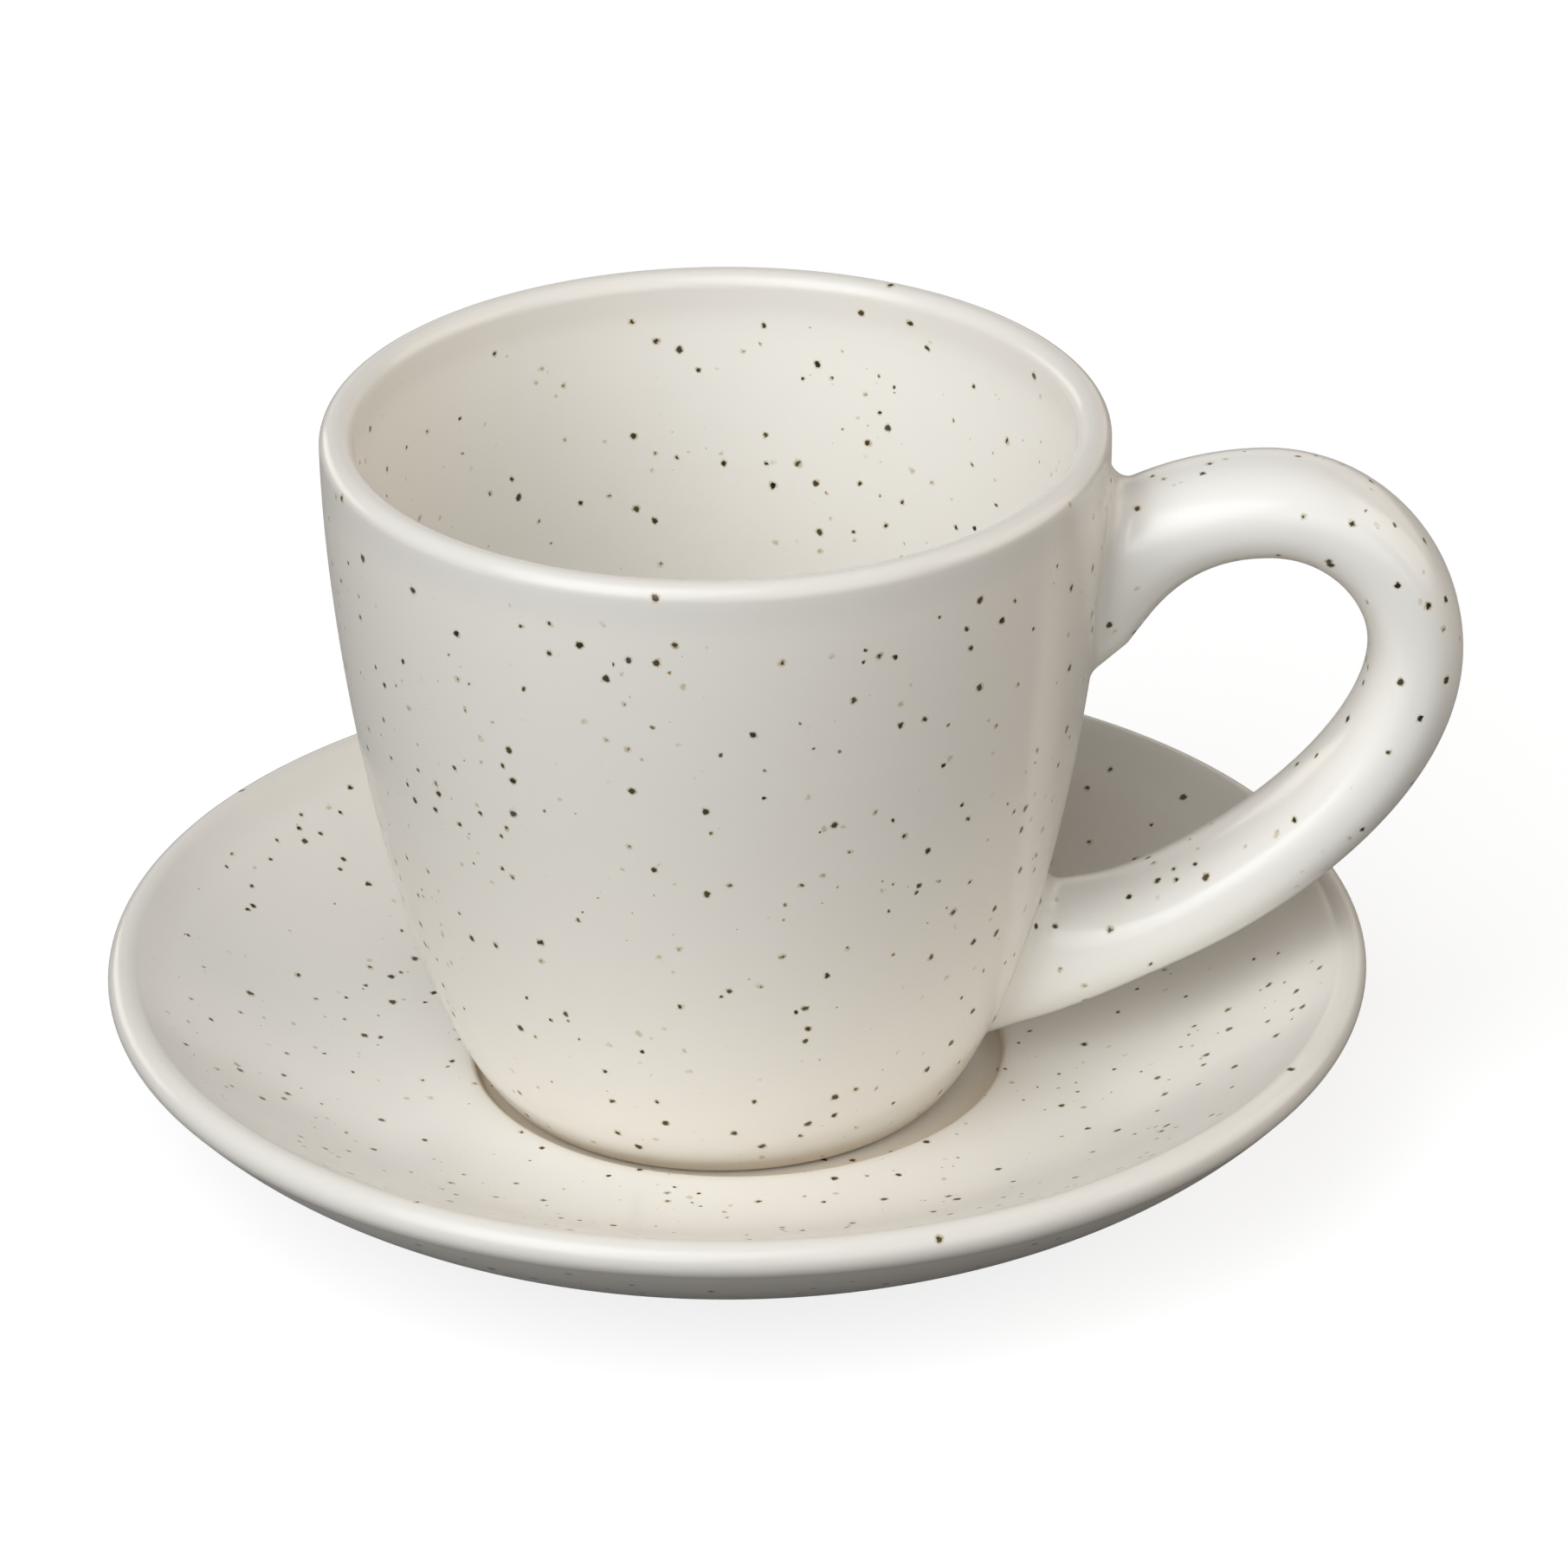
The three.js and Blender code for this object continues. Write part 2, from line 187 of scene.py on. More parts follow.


# %% [markdown]
# ## The saucer
# The saucer is a shallow dish with a rounded lip, a well in the middle that keeps the cup in place, and a
# foot ring underneath. Its dish follows one arc, level at the well and rising to the lip, and the clay thins
# on the way. The surface also carries values for the glaze, one number per point: bare on the foot ring,
# which is wiped clean so that it doesn't stick to the kiln shelf; one on the lip, where the glaze runs thin
# and its cooler grey tone also paints the cool reflection on the lip; and one in the corner of the well,
# where the glaze gathers and its warmer, darker tone also paints the warm shade in the gap round the cup.
# They could be painted by hand, but here they follow from the distance to the profile's own corners. A value
# that a piece doesn't have reads as 0.

# %% The saucer's profile
SAUCER_RADIUS, SAUCER_LIP = 54.0, 3.1
WELL_FLOOR, WELL_EDGE, WELL_RADIUS = 4.3, 5.6, 23.4
LIP_TOP = 16.0
FOOT_STEP, FOOT_RECESS = 0.8, 1.2
FOOT_OUTSIDE, FOOT_INSIDE, FOOT_ROUND = 28.0, 24.0, 0.5
DISH_THINNING = 5
SAUCER_WIPED = (0.15, 0.55)  # heights where the bare clay ends and the full glaze starts
SAUCER_THIN_AND_REFLECTION = (4.5, 1.5)  # distances from the lip's middle where the thin glaze, with its painted cool reflection, starts and is full
SAUCER_POOLED_AND_SHADED = (2.6, 0.4)  # the same from the corner of the well for pooled glaze, which also paints the warm shade in the gap

lip = np.array([SAUCER_RADIUS - SAUCER_LIP / 2, LIP_TOP - SAUCER_LIP / 2])
start = np.array([WELL_RADIUS, (WELL_EDGE + FOOT_STEP) / 2])
out, rise = lip - start
sweep = (out ** 2 + rise ** 2) / (2 * rise)
dish_centre = start + (0, sweep)
dish_end = math.asin(out / sweep)


def dish_face(turn, side):
    """Face of the dish at an angle along its arc: the arc's point, moved out by half the thickness there.

    side is -1 for the upper face and 1 for the underside."""
    thickness = SAUCER_LIP + (WELL_EDGE - FOOT_STEP - SAUCER_LIP) * (1 - (turn / dish_end) ** DISH_THINNING)
    reach = sweep + side * thickness / 2
    return dish_centre + reach[:, None] * np.stack([np.sin(turn), -np.cos(turn)], axis=-1)


well_round = (WELL_EDGE - WELL_FLOOR) / 2
well_corner = WELL_RADIUS - 2 * well_round
lip_start = math.degrees(dish_end) + 90
foot_turn = math.asin((FOOT_OUTSIDE - WELL_RADIUS) / sweep)
saucer_profile = joined(
    straight((INNERMOST, WELL_FLOOR), (well_corner, WELL_FLOOR), 10),
    arc((well_corner, WELL_FLOOR + well_round), well_round, -90, 0, 9),
    arc((WELL_RADIUS, WELL_EDGE - well_round), well_round, 180, 90, 9),
    dish_face(np.linspace(0, dish_end, 60), -1),
    arc(lip, SAUCER_LIP / 2, lip_start, lip_start - 180, 33),
    dish_face(np.linspace(dish_end, foot_turn, 50), 1),
    arc((FOOT_OUTSIDE - FOOT_ROUND, FOOT_ROUND), FOOT_ROUND, 0, -90, 7),
    arc((FOOT_INSIDE + FOOT_ROUND, FOOT_ROUND), FOOT_ROUND, -90, -180, 7),
    straight((FOOT_INSIDE, FOOT_RECESS), (INNERMOST, FOOT_RECESS), 9),
)
radius, height = saucer_profile.T
saucer_bare = 1 - between(height, *SAUCER_WIPED)
# Thin glaze on the lip, whose cooler grey tone also paints the cool reflection there.
saucer_edge_and_reflection = between(np.hypot(radius - lip[0], height - lip[1]), *SAUCER_THIN_AND_REFLECTION)
# Pooled glaze in the well's corner, whose warmer, darker tone also paints the warm shade round the cup.
saucer_pool_and_shade = between(np.hypot(radius - well_corner, height - WELL_FLOOR), *SAUCER_POOLED_AND_SHADED)
saucer = grid_skin(
    "glazed_saucer",
    turned(saucer_profile, (0, 0, 0)),
    {"bare": saucer_bare[:, None], "edge_and_reflection": saucer_edge_and_reflection[:, None], "pool_and_shade": saucer_pool_and_shade[:, None]},
)

# %% [markdown]
# ## The cup's body
# The side is one cubic curve: upright at the rim, and splayed where it turns under to the foot. The bowl
# inside is another, so the wall thickens towards the bottom as it does in a thrown cup, and half a circle
# joins the two at the rim. The cup stands in the well a little nearer to one side, as the gap round its base
# shows. One more value makes the bowl a little whiter: that is painted light, which stands in for the light
# inside the bowl.

# %% The cup's profile
CUP_HEIGHT, RIM_RADIUS, RIM_THICKNESS = 61.0, 33.0, 2.8
BASE_RADIUS, BASE_SPLAY, BASE_ROUND = 20.2, math.radians(40.5), 0.8
SIDE_RIM_PULL, SIDE_BASE_PULL = 19.7, 11.1
BOWL_FLOOR, BOWL_FLAT, BOWL_RIM_PULL, BOWL_FLOOR_PULL = 4.2, 12.0, 30.0, 10.0
CUP_RECESS, CUP_FOOT_WIDTH = 0.9, 3.2
CUP_PUSH, CUP_NEAR_SIDE = 1.47, math.radians(214)
CUP_WIPED, CUP_THIN_AND_REFLECTION = (0.1, 0.4), (4.2, 1.4)  # as on the saucer
CUP_POOLED_AND_SHADED = (3.0, 0.4)  # heights above the foot where the pooled glaze, which also paints the warm shade in the gap, starts and is full
# painted light: how much whiter the bowl is painted, standing in for the light inside it
BOWL_PAINTED_LIGHT = 0.4

cup_centre = (CUP_PUSH * math.cos(CUP_NEAR_SIDE), CUP_PUSH * math.sin(CUP_NEAR_SIDE), WELL_FLOOR)
rim_middle, rim_centre = RIM_RADIUS - RIM_THICKNESS / 2, CUP_HEIGHT - RIM_THICKNESS / 2
splay = np.array([math.sin(BASE_SPLAY), math.cos(BASE_SPLAY)])
base = np.array([BASE_RADIUS, BASE_ROUND])
side_corners = [
    (RIM_RADIUS, rim_centre),
    (RIM_RADIUS, rim_centre - SIDE_RIM_PULL),
    base + SIDE_BASE_PULL * splay,
    base,
]
bowl_corners = [
    (BOWL_FLAT, BOWL_FLOOR),
    (BOWL_FLAT + BOWL_FLOOR_PULL, BOWL_FLOOR),
    (RIM_RADIUS - RIM_THICKNESS, rim_centre - BOWL_RIM_PULL),
    (RIM_RADIUS - RIM_THICKNESS, rim_centre),
]
turn_under = base - splay * BASE_ROUND / splay[1]
foot_outside = turn_under - (BASE_ROUND / splay[1], 0)
foot_inside = foot_outside - (CUP_FOOT_WIDTH, 0)
cup_profile = joined(
    straight((INNERMOST, BOWL_FLOOR), (BOWL_FLAT, BOWL_FLOOR), 6),
    cubic(bowl_corners, 60),
    arc((rim_middle, rim_centre), RIM_THICKNESS / 2, 180, 0, 25),
    cubic(side_corners, 80),
    cubic([base, base + (turn_under - base) * 2 / 3, foot_outside + (turn_under - foot_outside) * 2 / 3,
           foot_outside], 9),
    straight(foot_outside, foot_inside, 4),
    straight(foot_inside, foot_inside + (-CUP_RECESS, CUP_RECESS), 4),
    straight(foot_inside + (-CUP_RECESS, CUP_RECESS), (INNERMOST, CUP_RECESS), 8),
)
radius, height = cup_profile.T
cup_bare = 1 - between(height, *CUP_WIPED)
# Thin glaze on the rim, whose cooler grey tone also paints the cool reflection there.
cup_edge_and_reflection = between(np.hypot(radius - rim_middle, height - rim_centre), *CUP_THIN_AND_REFLECTION)
in_bowl = np.arange(len(height)) < height.argmax()
# Painted light on the bowl, faded out on the rim.
cup_painted_light = BOWL_PAINTED_LIGHT * in_bowl * (1 - cup_edge_and_reflection)
# Pooled glaze at the foot, whose warmer, darker tone also paints the warm shade in the gap.
cup_pool_and_shade = between(height, *CUP_POOLED_AND_SHADED) * (radius > foot_inside[0])
cup = grid_skin(
    "glazed_cup",
    turned(cup_profile, cup_centre),
    {"bare": cup_bare[:, None], "edge_and_reflection": cup_edge_and_reflection[:, None],
     "pale": cup_painted_light[:, None], "pool_and_shade": cup_pool_and_shade[:, None]},
)

# %% [markdown]
# ## The handle
# The handle is a strap with a softly squared section, bent to a loop. Its middle line is three cubic curves
# in the upright plane through the cup's axis, and it runs on straight inside the cup at both ends. Each long
# line of the strap is followed until it meets the cup's side, so the ends of the strap fit the curved wall.
# Close to the wall every point slides along the wall, by what a circle that touches strap and wall adds to
# the corner: that is the fillet of slip that a potter works round each root, and it brings the glaze
# smoothly onto the cup. A bevelled curve with a boolean would leave a hard crease there.

# %% The handle's middle line
HANDLE_THICKNESS, HANDLE_WIDTH, HANDLE_SQUARENESS = 8.0, 12.2, 2.3
UPPER_ROOT, UPPER_RISE, UPPER_PULL = 47.0, math.radians(41.5), 5.0
CREST, CREST_PULLS = (46.0, 52.6), (5.8, 7.1)
BELLY, BELLY_PULLS = (58.8, 39.1), (7.2, 13.5)
LOWER_ROOT, LOWER_RISE, LOWER_PULL = 10.9, math.radians(2.6), 12.6
UPPER_SWELL, LOWER_SWELL, ROOT_SET, ROOT_RUN = 2.2, 3.1, 2.5, 16.0
ROOT_FILLET = 1.6
ROOT_TUCK = 0.6  # how far the strap's ends reach into the wall
STRAP_THIN_AND_REFLECTION, STRAP_PAINTED_LIGHT = 0.4, 0.85  # how thin the strap's glaze is, which also paints a cool reflection, and how much painted light whitens the strap
STRAP_PAINTED_LIGHT_FROM = (0.1, 3.0)  # distances from the wall where the strap's painted light starts and is full
BURIED = HANDLE_THICKNESS + LOWER_SWELL

side_line = cubic(side_corners, 4001)[::-1]
side_lean = np.arctan2(*np.gradient(side_line, axis=0).T)


def beside_cup(place):
    """How far points stand off the cup's side, and which way the side faces there.

    The distance is the level one to the side's curve, times the cosine of the side's lean."""
    reach = np.hypot(place[..., 0], place[..., 1])
    radius = np.interp(place[..., 2], side_line[:, 1], side_line[:, 0])
    lean = np.interp(place[..., 2], side_line[:, 1], side_lean)
    level = np.cos(lean) / reach
    facing = np.stack([place[..., 0] * level, place[..., 1] * level, -np.sin(lean)], axis=-1)
    return (reach - radius) * np.cos(lean), facing


def heading(angle):
    """Unit vector at an angle above the level."""
    return np.array([math.cos(angle), math.sin(angle)])


upper = np.array([np.interp(UPPER_ROOT, side_line[:, 1], side_line[:, 0]), UPPER_ROOT])
lower = np.array([np.interp(LOWER_ROOT, side_line[:, 1], side_line[:, 0]), LOWER_ROOT])
crest, belly = np.array(CREST), np.array(BELLY)
level_out, straight_up = np.array([1, 0]), np.array([0, 1])
middle_line = joined(
    straight(upper - BURIED * heading(UPPER_RISE), upper, 400),
    cubic([upper, upper + UPPER_PULL * heading(UPPER_RISE), crest - CREST_PULLS[0] * level_out, crest], 800),
    cubic([crest, crest + CREST_PULLS[1] * level_out, belly + BELLY_PULLS[0] * straight_up, belly], 800),
    cubic([belly, belly - BELLY_PULLS[1] * straight_up, lower + LOWER_PULL * heading(LOWER_RISE), lower],
          1600),
    straight(lower, lower - BURIED * heading(LOWER_RISE), 400),
)
steps = np.linalg.norm(np.diff(middle_line, axis=0), axis=1)
along = np.append(0, np.cumsum(steps))
ways = np.gradient(middle_line, along, axis=0)
ways /= np.linalg.norm(ways, axis=1, keepdims=True)
print("the handle's middle line is", round(along[-1] - 2 * BURIED, 1), "mm long")

# %% The handle's strap and its roots
STRAP_SIDES, ROOT_RINGS, LOOP_RINGS = 96, 36, 90


def strap_point(distance, angle):
    """Point of the strap's skin, and the way its section faces there.

    The section is a superellipse: half the width times sin and half the thickness times cos, each to the
    power 2/n."""
    middle = np.stack([np.interp(distance, along, axis) for axis in middle_line.T], axis=-1)
    way = np.stack([np.interp(distance, along, axis) for axis in ways.T], axis=-1)
    from_upper = np.clip(1 - (distance - BURIED + ROOT_SET) / ROOT_RUN, 0, 1)
    from_lower = np.clip(1 - (along[-1] - BURIED - distance + ROOT_SET) / ROOT_RUN, 0, 1)
    thick = HANDLE_THICKNESS / 2 + UPPER_SWELL * from_upper ** 2 + LOWER_SWELL * from_lower ** 2
    wide = HANDLE_WIDTH / 2
    sine, cosine = np.sin(angle), np.cos(angle)
    soft, steep = 2 / HANDLE_SQUARENESS, 2 - 2 / HANDLE_SQUARENESS
    over = thick * np.sign(cosine) * np.abs(cosine) ** soft
    place = np.stack([
        middle[..., 0] - way[..., 1] * over,
        wide * np.sign(sine) * np.abs(sine) ** soft + 0 * distance,
        middle[..., 1] + way[..., 0] * over,
    ], axis=-1)
    over = np.sign(cosine) * np.abs(cosine) ** steep / thick
    faces = np.stack([
        -way[..., 1] * over,
        np.sign(sine) * np.abs(sine) ** steep / wide + 0 * distance,
        way[..., 0] * over,
    ], axis=-1)
    return place, faces / np.linalg.norm(faces, axis=-1, keepdims=True)


def root_distance(angle, inside, outside):
    """Distance along the middle line where each long line comes out of the cup, found by halving."""
    inside, outside = np.full_like(angle, inside), np.full_like(angle, outside)
    for _ in range(40):
        half = (inside + outside) / 2
        clear = beside_cup(strap_point(half, angle)[0])[0] > 0
        inside, outside = np.where(clear, inside, half), np.where(clear, half, outside)
    return outside


def filleted(place, faces):
    """Points slid along the cup's side by a round fillet of the radius F in a corner open by the angle o:
    F / tan(o/2) - sqrt(F^2 - (F - d)^2) - d / tan(o), at the distance d from the side."""
    off, facing = beside_cup(place)
    tilt = (faces * facing).sum(axis=-1)
    opened = np.arccos(-tilt)
    off = np.clip(off, 0, ROOT_FILLET * (1 - tilt))
    circle = np.sqrt(ROOT_FILLET ** 2 - (ROOT_FILLET - off) ** 2)
    growth = ROOT_FILLET / np.tan(opened / 2) - circle - off / np.tan(opened)
    slide = faces - tilt[..., None] * facing
    slide /= np.linalg.norm(slide, axis=-1, keepdims=True)
    return place + growth[..., None] * slide


angle = np.linspace(0, 2 * np.pi, STRAP_SIDES, endpoint=False)
leaves = root_distance(angle, 0, BURIED + ROOT_RUN)
meets = root_distance(angle, along[-1], along[-1] - BURIED - ROOT_RUN)
root_run = ROOT_RUN * np.linspace(0, 1, ROOT_RINGS)[:, None] ** 2
share = np.linspace(0, 1, LOOP_RINGS)[1:-1, None]
distance = np.concatenate([
    leaves[None] - ROOT_TUCK,
    leaves + root_run,
    (leaves + ROOT_RUN) * (1 - share) + (meets - ROOT_RUN) * share,
    (meets - root_run)[::-1],
    meets[None] + ROOT_TUCK,
])
strap = filleted(*strap_point(distance, angle))
from_wall = beside_cup(strap)[0].mean(axis=1)
# Painted light: the strap is painted whiter away from the wall, standing in for light on the handle.
strap_painted_light = STRAP_PAINTED_LIGHT * between(from_wall, *STRAP_PAINTED_LIGHT_FROM)
handle = grid_skin(
    "glazed_handle",
    (strap + cup_centre) * MM,
    {"edge_and_reflection": np.full((1, 1), STRAP_THIN_AND_REFLECTION), "pale": strap_painted_light[:, None]},
)

# %% [markdown]
# ## The glaze
# Speckled stoneware is an off-white glaze over a clay that holds grains of iron. In the kiln the grains melt
# up into the glaze: the large ones make dark brown spots with a soft olive seam, and the small ones only an
# olive or amber dot. A painted image could show that, but it would stretch over the curved pieces. A grain is
# a little ball, so a three-dimensional Voronoi pattern suits it: each cell has one grain, its colour numbers
# say how large and how dark the grain is, and the surface cuts through the ball. Three such layers give
# large, middle and fine grains. The pattern is read in Object coordinates, so it stays on the clay.

# %% Nodes and colours
FACTOR, FIRST, SECOND, MIXED = 0, 6, 7, 2  # sockets of a Mix node that is set to colours


def linear(hex_colour):
    """Linear colour of an sRGB hex value: v/12.92 below 0.04045, else ((v + 0.055) / 1.055)^2.4."""
    values = np.array([int(hex_colour[i:i + 2], 16) / 255 for i in (1, 3, 5)])
    light = np.where(values <= 0.04045, values / 12.92, ((values + 0.055) / 1.055) ** 2.4)
    return (*light, 1.0)


def node(tree, kind, inputs=None, **settings):
    """Add a node, set its properties, and set or link its inputs by name or number."""
    made = tree.nodes.new(kind)
    for name, value in settings.items():
        setattr(made, name, value)
    for socket, value in (inputs or {}).items():
        if isinstance(value, bpy.types.NodeSocket):
            tree.links.new(value, made.inputs[socket])
        else:
            made.inputs[socket].default_value = value
    return made


# %% Iron grains
GRAIN_FADE, SEAM_FADE = (0.78, 1.0), (0.9, 1.6)  # in radii of the grain


def iron_grains(tree, place, crowd, spacing, sizes, share):
    """One layer of grains. Returns the mask of a grain, the mask with its seam, and random numbers per grain.

    spacing is the size of a cell and sizes are the smallest and largest radius, in millimetres. share is the
    part of the cells that hold a grain, and crowd shifts it from place to place. A mask is 1 in the middle of
    a grain and falls smoothly to 0 at its radius."""
    cells = node(tree, "ShaderNodeTexVoronoi", {"Vector": place, "Scale": 1 / (spacing * MM)})
    chance = node(tree, "ShaderNodeSeparateColor", {"Color": cells.outputs["Color"]})
    small, large = (size / spacing for size in sizes)
    size = node(tree, "ShaderNodeMapRange", {
        "Value": chance.outputs["Red"], "From Min": 1 - share, "From Max": 1.0,
        "To Min": small, "To Max": large})
    luck = node(tree, "ShaderNodeMath", {0: chance.outputs["Red"], 1: crowd}, operation="ADD")
    there = node(tree, "ShaderNodeMath", {0: luck.outputs[0], 1: 1 - share}, operation="GREATER_THAN")
    masks = []
    for inner, outer in (GRAIN_FADE, SEAM_FADE):
        near = node(tree, "ShaderNodeMath", {0: size.outputs["Result"], 1: inner}, operation="MULTIPLY")
        far = node(tree, "ShaderNodeMath", {0: size.outputs["Result"], 1: outer}, operation="MULTIPLY")
        ball = node(tree, "ShaderNodeMapRange", {
            "Value": cells.outputs["Distance"], "From Min": near.outputs[0], "From Max": far.outputs[0],
            "To Min": 1.0, "To Max": 0.0}, interpolation_type="SMOOTHSTEP")
        shown = node(tree, "ShaderNodeMath", {0: ball.outputs["Result"], 1: there.outputs[0]},
                     operation="MULTIPLY")
        masks.append(shown.outputs[0])
    return *masks, chance


# %% The speckled stoneware glaze
# Stoneware glaze is a glass full of fine clouding crystals, melted over rough clay: off-white and nearly
# opaque, with a clear gloss that is softer than polished glass. Bare stoneware is sandy and dull.
GLAZE_IOR = 1.45
GLAZE_ROUGHNESS, CLAY_ROUGHNESS = (0.16, 0.22), 0.85
# The edge tone is thin glaze whose cooler grey also paints cool reflection, the pale tone is painted light,
# and the pool tone is pooled glaze whose warmer, darker colour also paints warm shade.
GLAZE_EDGE_AND_REFLECTION, GLAZE_PAINTED_LIGHT, GLAZE_POOL_AND_SHADE = "#E4E0D8", "#F5F3ED", "#E0D4BF"
IRON_DARK, IRON_BROWN, IRON_BLUE = "#180F06", "#302008", "#262B3C"
IRON_AMBER, IRON_OLIVE, IRON_SEAM = "#8A6412", "#625410", "#A48A0C"
CLAY_PALE, CLAY_DARK = "#CDBEA6", "#B5A284"

# Sizes of the patterns in millimetres, from one soft patch to the next.
DRIFT_SIZE, GATHER_SIZE, RIPPLE_SIZE, SAND_SIZE, RAGGED_SIZE = 22, 9, 5, 0.8, 0.45
RAGGED_PUSH, RIPPLE_HEIGHT = 0.4, 0.03
GATHER_SHARE, EDGE_SHARE = 0.2, -0.8  # how far gathering and thin glaze shift the share of grains
SEAM_STRENGTH = 0.6
NOISE_LOW, NOISE_HIGH = 0.3, 0.7  # where nearly all values of a noise lie
IRON_STOPS = (0.4, 0.7, 0.9)  # where one kind of iron ends and the next starts

# Each layer of grains: spacing, smallest and largest radius in millimetres, share, strength, colours.
GRAIN_LAYERS = (
    (2.0, (0.17, 0.34), 0.80, (0.9, 1.0), (IRON_DARK, IRON_DARK, IRON_BROWN, IRON_BLUE)),
    (1.5, (0.12, 0.20), 0.15, (0.7, 1.0), (IRON_BROWN, IRON_OLIVE, IRON_AMBER, IRON_BLUE)),
    (1.0, (0.06, 0.12), 0.09, (0.3, 0.8), (IRON_OLIVE, IRON_AMBER, IRON_BROWN, IRON_BLUE)),
)


def speckled_glaze(name, seed, warm, cool):
    """Gloss stoneware glaze with iron grains and bare clay where the attributes say so. The thin glaze on
    edges also paints a cool reflection, the paler glaze paints light, and the pooled glaze also paints warm
    shade.
    """
    material = bpy.data.materials.new(name)
    material.use_nodes = True
    tree = material.node_tree
    tree.nodes.clear()
    surface = node(tree, "ShaderNodeTexCoord")
    moved = node(tree, "ShaderNodeMapping", {
        "Vector": surface.outputs["Object"], "Location": (seed, 0.3 * seed, 0)})
    place = moved.outputs["Vector"]

    # The body of the glaze drifts between a warm and a cooler white over a few centimetres.
    drift = node(tree, "ShaderNodeTexNoise", {"Vector": place, "Scale": 1 / (DRIFT_SIZE * MM), "Detail": 2.0})
    colour = node(tree, "ShaderNodeMix", {
        FACTOR: drift.outputs["Fac"], FIRST: linear(warm), SECOND: linear(cool)}, data_type="RGBA")
    # Painted light and shade: the edge tone also paints cool reflection, the pale tone paints light, and the
    # pool tone also paints warm shade.
    for value, tone in (("edge_and_reflection", GLAZE_EDGE_AND_REFLECTION), ("pale", GLAZE_PAINTED_LIGHT), ("pool_and_shade", GLAZE_POOL_AND_SHADE)):
        there = node(tree, "ShaderNodeAttribute", attribute_name=value)
        colour = node(tree, "ShaderNodeMix", {
            FACTOR: there.outputs["Fac"], FIRST: colour.outputs[MIXED], SECOND: linear(tone)},
            data_type="RGBA")

    # Grains aren't round: a fine noise pushes their outline about by a tenth of a millimetre.
    ragged = node(tree, "ShaderNodeTexNoise", {
        "Vector": place, "Scale": 1 / (RAGGED_SIZE * MM), "Detail": 1.0})
    centred = node(tree, "ShaderNodeVectorMath", {0: ragged.outputs["Color"], 1: (0.5, 0.5, 0.5)},
                   operation="SUBTRACT")
    pushed = node(tree, "ShaderNodeVectorMath", {0: centred.outputs[0], 1: (RAGGED_PUSH * MM,) * 3, 2: place},
                  operation="MULTIPLY_ADD")

    # They gather a little in some places, and few come through where the glaze is thin on an edge.
    gather = node(tree, "ShaderNodeTexNoise", {
        "Vector": place, "Scale": 1 / (GATHER_SIZE * MM), "Detail": 0.0})
    spread = node(tree, "ShaderNodeMapRange", {
        "Value": gather.outputs["Fac"], "From Min": NOISE_LOW, "From Max": NOISE_HIGH,
        "To Min": -GATHER_SHARE, "To Max": GATHER_SHARE})
    edge_and_reflection = node(tree, "ShaderNodeAttribute", attribute_name="edge_and_reflection")
    crowd = node(tree, "ShaderNodeMath", {0: edge_and_reflection.outputs["Fac"], 1: EDGE_SHARE, 2: spread.outputs["Result"]},
                 operation="MULTIPLY_ADD")
    for spacing, sizes, share, strength, irons in GRAIN_LAYERS:
        core, seam, chance = iron_grains(tree, pushed.outputs[0], crowd.outputs[0], spacing, sizes, share)
        kind = node(tree, "ShaderNodeValToRGB", {"Fac": chance.outputs["Green"]})
        kind.color_ramp.interpolation = "CONSTANT"
        stops = kind.color_ramp.elements
        stops.remove(stops[1])
        stops[0].color = linear(irons[0])
        for position, iron in zip(IRON_STOPS, irons[1:]):
            stops.new(position).color = linear(iron)
        faint = node(tree, "ShaderNodeMapRange", {
            "Value": chance.outputs["Blue"], "To Min": strength[0], "To Max": strength[1]})
        core = node(tree, "ShaderNodeMath", {0: core, 1: faint.outputs["Result"]}, operation="MULTIPLY")
        seam = node(tree, "ShaderNodeMath", {0: seam, 1: SEAM_STRENGTH * strength[0]}, operation="MULTIPLY")
        colour = node(tree, "ShaderNodeMix", {
            FACTOR: seam.outputs[0], FIRST: colour.outputs[MIXED], SECOND: linear(IRON_SEAM)},
            data_type="RGBA")
        colour = node(tree, "ShaderNodeMix", {
            FACTOR: core.outputs[0], FIRST: colour.outputs[MIXED], SECOND: kind.outputs["Color"]},
            data_type="RGBA")

    # Bare clay on the foot ring: sandy, rough and a little darker.
    sand = node(tree, "ShaderNodeTexNoise", {"Vector": place, "Scale": 1 / (SAND_SIZE * MM), "Detail": 4.0})
    clay = node(tree, "ShaderNodeMix", {
        FACTOR: sand.outputs["Fac"], FIRST: linear(CLAY_PALE), SECOND: linear(CLAY_DARK)}, data_type="RGBA")
    bare = node(tree, "ShaderNodeAttribute", attribute_name="bare")
    colour = node(tree, "ShaderNodeMix", {
        FACTOR: bare.outputs["Fac"], FIRST: colour.outputs[MIXED], SECOND: clay.outputs[MIXED]},
        data_type="RGBA")

    # The glaze levels out to a gloss with a slow ripple.
    ripple = node(tree, "ShaderNodeTexNoise", {
        "Vector": place, "Scale": 1 / (RIPPLE_SIZE * MM), "Detail": 1.0})
    bump = node(tree, "ShaderNodeBump", {
        "Height": ripple.outputs["Fac"], "Distance": RIPPLE_HEIGHT * MM, "Strength": 1.0})
    gloss = node(tree, "ShaderNodeMapRange", {
        "Value": drift.outputs["Fac"], "To Min": GLAZE_ROUGHNESS[0], "To Max": GLAZE_ROUGHNESS[1]})
    rough = node(tree, "ShaderNodeMapRange", {
        "Value": bare.outputs["Fac"], "To Min": gloss.outputs["Result"], "To Max": CLAY_ROUGHNESS})

